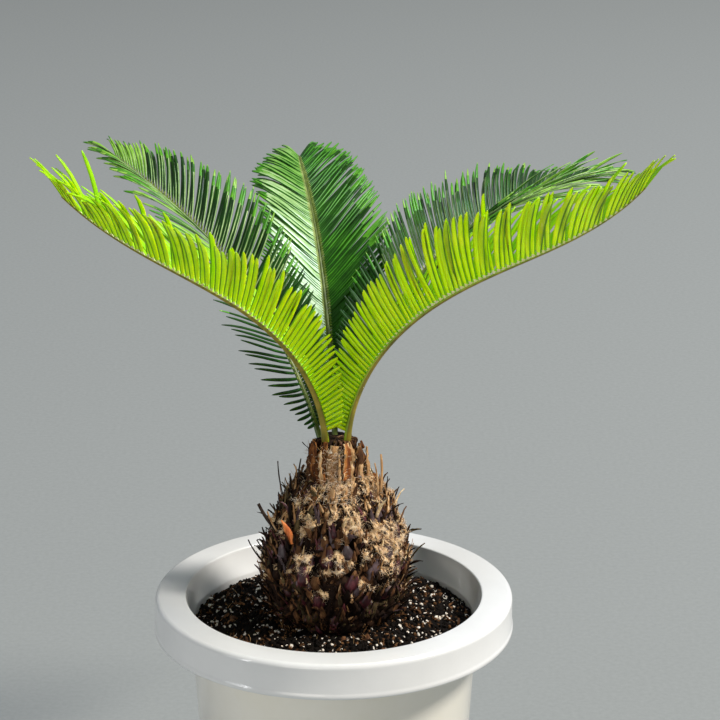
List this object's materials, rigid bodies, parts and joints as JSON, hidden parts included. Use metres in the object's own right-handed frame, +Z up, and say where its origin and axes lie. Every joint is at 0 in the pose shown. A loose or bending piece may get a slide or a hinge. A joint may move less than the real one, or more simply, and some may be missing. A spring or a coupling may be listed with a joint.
{
  "type": "potted sago palm",
  "caption": "Young sago palm: a swollen, scaly trunk in a white round pot with a rolled rim, crowned by arching feather fronds",
  "frame": {"origin": "centre of the pot's flat underside, on the surface it stands on", "axes": "+Z up, -Y towards the front, +X to the right as seen from the front"},
  "size_m": [0.4538, 0.5225, 0.6445],
  "materials": {
    "pot_plastic": "smooth satin-gloss white moulded polypropylene",
    "potting_soil": "dark crumbly bark and peat mix with white perlite",
    "trunk_bark": "rough leaf bases, maroon to tan, with matted wool",
    "young_frond": "yellow-green leathery leaflets, lit through",
    "dark_frond": "dark green glossy leathery leaflets"
  },
  "bodies": {
    "root": {"pot": "pot_plastic", "soil": "potting_soil", "trunk": "trunk_bark", "frond_front_left": "young_frond", "frond_front_right": "young_frond", "frond_back_left": "dark_frond", "frond_back_centre": "dark_frond", "frond_back_right": "dark_frond"}
  },
  "joints": []
}
